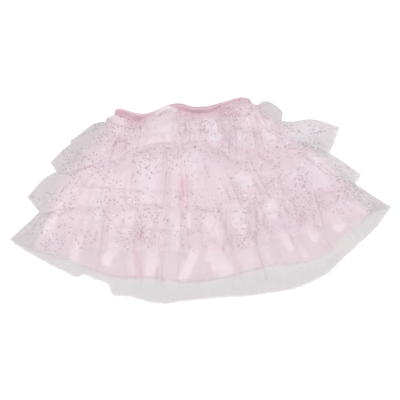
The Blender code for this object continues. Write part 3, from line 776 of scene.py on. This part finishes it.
def netMaterial(name, look):
    made, tree, shader = newMaterial(name, Roughness=look["roughness"], Specular_IOR_Level=0.25,
                                     Sheen_Weight=look["sheen"], Sheen_Roughness=0.5)
    tint = useTint(tree, look, 0.6)
    gathered, rim, seam, overSatin = paintOf(tree, "clothMarks")
    light, paintedPinkShade, paintedShimmer, dim = paintOf(tree, "clothPaint")
    colour = mixTo(tree, tint["Colour"], look["edge"], attributeOf(tree, "bareNet")["Fac"])
    # mixes in the light strokes (partly painted light), painted lilac reflection, painted pink shade and
    # painted grey shade
    for target, share in (("light", light), ("paintedShimmer", paintedShimmer), ("paintedPinkShade", paintedPinkShade), ("dim", dim)):
        colour = mixTo(tree, colour, look[target], share)
    feed(tree, shader["Base Color"], colour)
    gather = look["gatherShare"]
    density = mathNode(tree, "MULTIPLY_ADD", gathered, 4 * gather, 1 - gather)
    for share, much in ((rim, look["rim"]), (light, look["lightCover"]), (paintedPinkShade, look["paintedPinkShadeCover"])):
        density = mathNode(tree, "MULTIPLY_ADD", share, much, density)
    density = mathNode(tree, "MULTIPLY", density, seam)
    for mask, much, least in ((tint["Patches"], look["uneven"], 1 - look["uneven"] / 2),
                              (overSatin, look["edgeCover"], 1)):
        density = mathNode(tree, "MULTIPLY", density, mathNode(tree, "MULTIPLY_ADD", mask, much, least))
    weave = useGroup(tree, netWeave, Scale=look["weave"], Cover=look["cover"], Density=density)
    ray = addNode(tree, "LightPath")  # light that passes the net scatters on inside it
    lit = mathNode(tree, "MULTIPLY_ADD", ray.outputs["Is Shadow Ray"], -look["litThrough"], 1)
    feed(tree, shader["Alpha"], mathNode(tree, "MULTIPLY", weave["Alpha"], lit))
    addBump(tree, shader, weave["Height"], 0.25, 0.0002)
    return made


netLook = {
    "colour": (0.695, 0.58, 0.618), "shade": (0.67, 0.54, 0.58), "glow": (0.68, 0.585, 0.66),
    # the stroke colours: partly painted light, painted lilac reflection, painted grey shade, painted pink
    # shade
    "edge": (0.515, 0.472, 0.486), "light": (0.7, 0.645, 0.66), "paintedShimmer": (0.69, 0.6, 0.7),
    "dim": (0.5, 0.425, 0.45), "paintedPinkShade": (0.575, 0.41, 0.455), "patch": 16, "roughness": 0.7,
    "sheen": 0.1, "cover": 0.42, "weave": 850, "rim": -0.25, "lightCover": 0.8, "paintedPinkShadeCover": 0.25,
    "gatherShare": 0.06, "litThrough": 0.62, "uneven": 0.35, "edgeCover": 1.15,
}
plainLook = {
    **netLook, "cover": 0.45, "weave": 1000, "uneven": 0.2, "rim": 0.08, "colour": (0.66, 0.59, 0.615),
    "shade": (0.64, 0.555, 0.585), "glow": (0.66, 0.6, 0.62), "edge": (0.55, 0.524, 0.529),
    "light": (0.64, 0.6, 0.6),
}
glitterNet, plainNet = netMaterial("glitterNet", netLook), netMaterial("plainNet", plainLook)


def satinMaterial(name, look):
    made, tree, shader = newMaterial(name, Roughness=look["roughness"], Specular_IOR_Level=look["gloss"],
                                     Sheen_Weight=0.15, Sheen_Roughness=0.4)
    paintedHighlight, paintedPinkShade = paintOf(tree, "clothPaint")[:2]
    colour = useTint(tree, look, 0.5)["Colour"]
    # painted pink shade in the valleys, painted highlights on the facets and on the band's top edge
    for target, share in (("paintedPinkShade", paintedPinkShade), ("paintedHighlight", paintedHighlight)):
        colour = mixTo(tree, colour, look[target], share)
    feed(tree, shader["Base Color"], colour)
    weave = useGroup(tree, threadWeave, Across=look["across"], Along=look["along"])
    addBump(tree, shader, weave["Height"], look["bump"], 0.0001)
    return made


liningSatin = satinMaterial("liningSatin", {
    "colour": (0.555, 0.46, 0.488), "shade": (0.515, 0.41, 0.442), "glow": (0.575, 0.485, 0.512),
    # colours of the painted pink shade and the painted highlights
    "paintedPinkShade": (0.58, 0.33, 0.4), "paintedHighlight": (0.675, 0.595, 0.62), "patch": 14,
    "roughness": 0.42, "gloss": 0.6, "across": 9000, "along": 4000, "bump": 0.15,
})
bandSatin = satinMaterial("bandSatin", {
    "colour": (0.5, 0.335, 0.385), "shade": (0.45, 0.29, 0.345), "glow": (0.54, 0.375, 0.43),
    # colours of the painted shade and the painted highlight on the rolled edge
    "paintedPinkShade": (0.41, 0.22, 0.285), "paintedHighlight": (0.68, 0.53, 0.58), "patch": 30,
    "roughness": 0.5, "gloss": 0.4, "across": 3200, "along": 5000, "bump": 0.5,
})


def threadMaterial(name, look):
    made, tree, shader = newMaterial(name, Roughness=0.55, Sheen_Weight=0.2)
    feed(tree, shader["Base Color"], useTint(tree, look, 0.8)["Colour"])
    twist = addNode(tree, "TexNoise", Scale=2600)
    addBump(tree, shader, twist.outputs["Fac"], 0.5, 0.0001)
    return made


paleThread = threadMaterial("paleThread", {"colour": (0.62, 0.47, 0.51), "shade": (0.52, 0.36, 0.41),
                                           "glow": (0.7, 0.58, 0.62), "patch": 60})
bandThread = threadMaterial("bandThread", {"colour": (0.52, 0.34, 0.4), "shade": (0.42, 0.25, 0.31),
                                           "glow": (0.58, 0.42, 0.47), "patch": 60})
print("materials made")


def sewOn(piece, cloth):  # what goes with a cloth
    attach(piece, "root")
    cloth.setdefault("with", []).append(piece)


def sixRound(middle, first, second, wide):  # six points around a middle
    angles = [turn * math.pi / 3 for turn in range(6)]
    return [middle + wide * (first * math.cos(angle) + second * math.sin(angle)) for angle in angles]


# Stitches: short raised lengths of thread, joined in one mesh a row

def stitchRow(name, cloth, down, pitch, length, thick, finish):
    points, faces = [], []
    for ply, side in ((cloth["front"], 1), (cloth["back"], -1)):
        row = down * (len(ply) - 1)
        low = min(int(row), len(ply) - 2)
        line = ply[low] * (1 - row + low) + ply[low + 1] * (row - low)
        away = awayAlong(line)
        for start in np.arange(4, away[-1] - 4 - length, pitch):
            spots = start + dice.uniform(-0.1, 0.1) * pitch + np.linspace(0, length, 3)
            middle = np.stack([np.interp(spots, away, line[:, axis]) for axis in range(3)], axis=1)
            middle[:, 2] += side * thick * np.array([0.1, 1.1, 0.1])
            along = unit(middle[2] - middle[0])
            across = unit(np.cross(along, (0, 0, 1)))
            first = len(points)
            for spot, much in zip(middle, (0.5, 1, 0.5)):
                points += sixRound(spot, across, np.cross(across, along), thick * much)
            for a in range(first, first + 12):
                b = a + 1 if (a - first) % 6 < 5 else a - 5
                faces.append((a, b, b + 6, a + 6))
            faces += [tuple(range(first + 5, first - 1, -1)), tuple(range(first + 12, first + 18))]
    mesh = newMesh(name, points, faces, 0.05)
    mesh.shade_smooth()
    mesh.materials.append(finish)
    sewOn(addObject(mesh), cloth)


for row in (  # name, cloth, how far down, then pitch, length and thickness in mm, thread
    ("ruffle_gather_stitches", waistRuffle, 0.19, 3.4, 2.2, 0.28, paleThread),
    ("lining_hem_stitches", lining, 0.964, 3.2, 2.3, 0.22, paleThread),
    ("band_upper_stitches", waistBand, 0.26, 2.8, 1.9, 0.24, bandThread),
    ("band_lower_stitches", waistBand, 0.6, 2.8, 1.9, 0.24, bandThread),
):
    stitchRow(*row)
print("stitches sewn")


# Glitter: small flat flakes on the net, in loose clusters

glitter = {
    "gap": 2.4,  # mm, the least between two flakes
    "wider": 1.4,  # spread of the clusters against the list
    "more": 1.7,  # flakes of a cluster against the list
    "between": 420,  # places tried outside the clusters, in this field
    "field": ((-280, -80), (280, 150)),
    "behind": 160,  # flakes on each back ply
    "reach": 2.6,  # mm from a place to the net's nearest point
    "size": (0.57, 0.76),
    "tilt": {"front": 0.2, "back": 0.04},
    "off": {"front": 0.35, "back": -0.18},  # mm off the cloth
    "finishes": {  # colour, metal, roughness, share of the flakes
        "glitterMauve": ((0.14, 0.045, 0.09), 0, 0.5, 0.81),
        "glitterWhite": ((0.82, 0.75, 0.79), 0.1, 0.5, 0.08),
        "glitterLilac": ((0.5, 0.38, 0.6), 0.3, 0.4, 0.11),
    },
    "clusters": [  # on the front: x, y, spread, how many
        (-148, 104, 6, 15), (-117, 117, 9, 20), (-99, 111, 7, 22), (-134, 99, 7, 10), (-112, 82, 5, 10),
        (-204, 69, 6, 13), (-190, 46, 6, 7), (-162, 51, 8, 15), (-147, 36, 8, 14), (-142, 66, 9, 8),
        (-96, 67, 6, 14), (-86, 55, 6, 14), (-208, -70, 8, 14), (56, -74, 9, 14), (84, -60, 7, 8),
        (-78, 45, 6, 16), (-52, 63, 7, 22), (-38, 64, 8, 16), (-8, 60, 9, 14), (9, 51, 9, 12),
        (-16, 131, 7, 6), (-21, 105, 6, 12), (5, 109, 5, 14), (-128, 3, 10, 24), (-150, -13, 9, 14),
        (-100, 0, 8, 12), (-82, -18, 7, 10), (-210, -10, 10, 34), (-195, 8, 6, 10), (-225, -38, 8, 12),
        (-225, -64, 7, 10), (-172, -60, 8, 12), (-120, -48, 8, 14), (-90, -54, 8, 32), (-105, -70, 8, 14),
        (-27, 0, 6, 8), (-27, -48, 6, 10), (-9, -22, 9, 12), (-250, -46, 7, 6), (38, 135, 9, 22),
        (70, 129, 9, 30), (33, 102, 8, 24), (44, 87, 8, 18), (74, 93, 7, 12), (112, 97, 7, 12),
        (131, 103, 8, 22), (117, 78, 7, 16), (76, 146, 6, 8), (176, 98, 8, 12), (158, 66, 8, 22),
        (172, 75, 8, 22), (142, 72, 6, 8), (105, 57, 8, 10), (76, 49, 7, 12), (110, 24, 7, 34),
        (124, 38, 6, 10), (159, 33, 5, 18), (144, 15, 6, 18), (176, 9, 7, 16), (165, -9, 8, 30),
        (126, -8, 7, 16), (140, -26, 8, 14), (214, 36, 7, 20), (236, 15, 7, 28), (212, 10, 8, 18),
        (210, -12, 8, 12), (260, -18, 6, 12), (68, 8, 8, 18), (74, -18, 7, 24), (32, -6, 10, 14),
        (70, -45, 9, 28), (65, -70, 6, 10), (98, -38, 7, 12), (6, -25, 6, 10), (-60, -26, 6, 8),
    ],
}
glitterCloths = (waistRuffle, tier1, tier2, tier3)
flakeFinishes = [newMaterial(name, Base_Color=colour, Metallic=metal, Roughness=rough)[0]
                 for name, (colour, metal, rough, _) in glitter["finishes"].items()]
flakeShares = [look[3] for look in glitter["finishes"].values()]


def flakeSpot(place):  # the topmost glittery ply at a place, and the point on it
    for cloth in glitterCloths:
        away = lengthOf(cloth["front"][1:-1, 1:-2, :2] - place)
        row, column = np.unravel_index(away.argmin(), away.shape)
        if away[row, column] < glitter["reach"]:
            return cloth["node"], (row + 1, column + 1)
    return None, None


def somewhere(ply, many):  # random points of a ply
    rows, columns = ply.shape[:2]
    return list(zip(dice.integers(1, rows - 1, many), dice.integers(1, columns - 2, many)))


def scatterGlitter():
    spots = {cloth["node"]: [] for cloth in glitterCloths}
    taken = np.full((1, 2), 999.0)
    places = [dice.normal((x, y), wide * glitter["wider"], (round(many * glitter["more"]), 2))
              for x, y, wide, many in glitter["clusters"]]
    for place in np.concatenate([*places, dice.uniform(*glitter["field"], (glitter["between"], 2))]):
        if lengthOf(taken - place).min() < glitter["gap"]:
            continue
        taken = np.vstack([taken, place])
        node, at = flakeSpot(place)
        if node:
            spots[node].append(at)
    for cloth in glitterCloths:  # a few on each net, also where another lies over it
        spots[cloth["node"]] += somewhere(cloth["front"], cloth["loose"])
    return spots


def glitterOn(cloth, spots):
    points, faces, kinds = [], [], []
    behind = somewhere(cloth["back"], glitter["behind"])
    flakes = [("front", at) for at in spots] + [("back", at) for at in behind]
    for side, (row, column) in flakes:
        ply = cloth[side]
        flat = ply[row, column + 1] - ply[row, column]
        along = ply[row, column] - ply[row - 1, column]
        here = ply[row, column] + flat * dice.uniform(-1, 1) - along * dice.uniform(0, 1)
        facing = unit(np.cross(along, flat), 1e-9)
        tilt = dice.normal(0, glitter["tilt"][side], 3)
        facing = unit(facing * np.sign(facing[2] or 1) + tilt)
        first = unit(np.cross(facing, (0.3, 1.0, 0.1)))
        size = dice.uniform(*glitter["size"])
        faces.append(tuple(range(len(points), len(points) + 6)))
        points += sixRound(here + facing * glitter["off"][side], first, np.cross(facing, first), size)
        kinds.append(dice.choice(3, p=flakeShares))
    mesh = newMesh(cloth["node"] + "_glitter", points, faces, 0.1)
    for finish in flakeFinishes:
        mesh.materials.append(finish)
    mesh.polygons.foreach_set("material_index", kinds)
    sewOn(addObject(mesh), cloth)


flakeSpots = scatterGlitter()
for cloth in glitterCloths:
    glitterOn(cloth, flakeSpots[cloth["node"]])
print("glitter scattered")

finishes = {"glitter_tulle": glitterNet, "plain_tulle": plainNet,
            "lining": liningSatin, "waistband": bandSatin}
for cloth in outsideIn:
    piece = cloth["piece"]
    piece.data.materials.append(finishes[cloth["slot"]])
    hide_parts(cloth["node"])
    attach(piece, "root")


# Floor, light and camera

studio = {
    "floor": (6000, -0.4, (0.92, 0.92, 0.92)),  # half its width and its height in mm, colour
    "lights": {"keyLight": ((-0.55, 0.45, 1.9), 0.5, 22), "fillLight": ((1.2, -1.0, 1.7), 1.4, 16)},
    "sky": 0.75,
    "lens": 85,
    "sensor": 36,
    "frameWidth": 0.6,  # metres seen across at the height of the cloth
    "clothHeight": 0.008,
}
half, level, colour = studio["floor"]
corners = [(-half, -half, level), (half, -half, level), (half, half, level), (-half, half, level)]
floorMesh = newMesh("floor", corners, [(0, 1, 2, 3)])
floorMesh.materials.append(newMaterial("floorFinish", Base_Color=colour, Roughness=0.9)[0])
addObject(floorMesh)

for name, (place, size, power) in studio["lights"].items():  # round soft lights, turned to the middle
    lightData = bpy.data.lights.new(name, "AREA")
    lightData.shape = "DISK"
    lightData.size = size
    lightData.energy = power
    lamp = addObject(lightData)
    lamp.location = place
    lamp.rotation_euler = (-Vector(place)).to_track_quat("-Z", "Y").to_euler()
world = bpy.data.worlds.new("studio")
world.use_nodes = True
sky = world.node_tree.nodes["Background"].inputs
sky["Color"].default_value = (1, 1, 1, 1)
sky["Strength"].default_value = studio["sky"]
scene.world = world
scene.view_settings.view_transform = "Standard"

cameraData = bpy.data.cameras.new("camera")
cameraData.lens = studio["lens"]
cameraData.sensor_width = studio["sensor"]
camera = addObject(cameraData)
camera.location = (0, 0, studio["frameWidth"] * studio["lens"] / studio["sensor"] + studio["clothHeight"])
scene.camera = camera
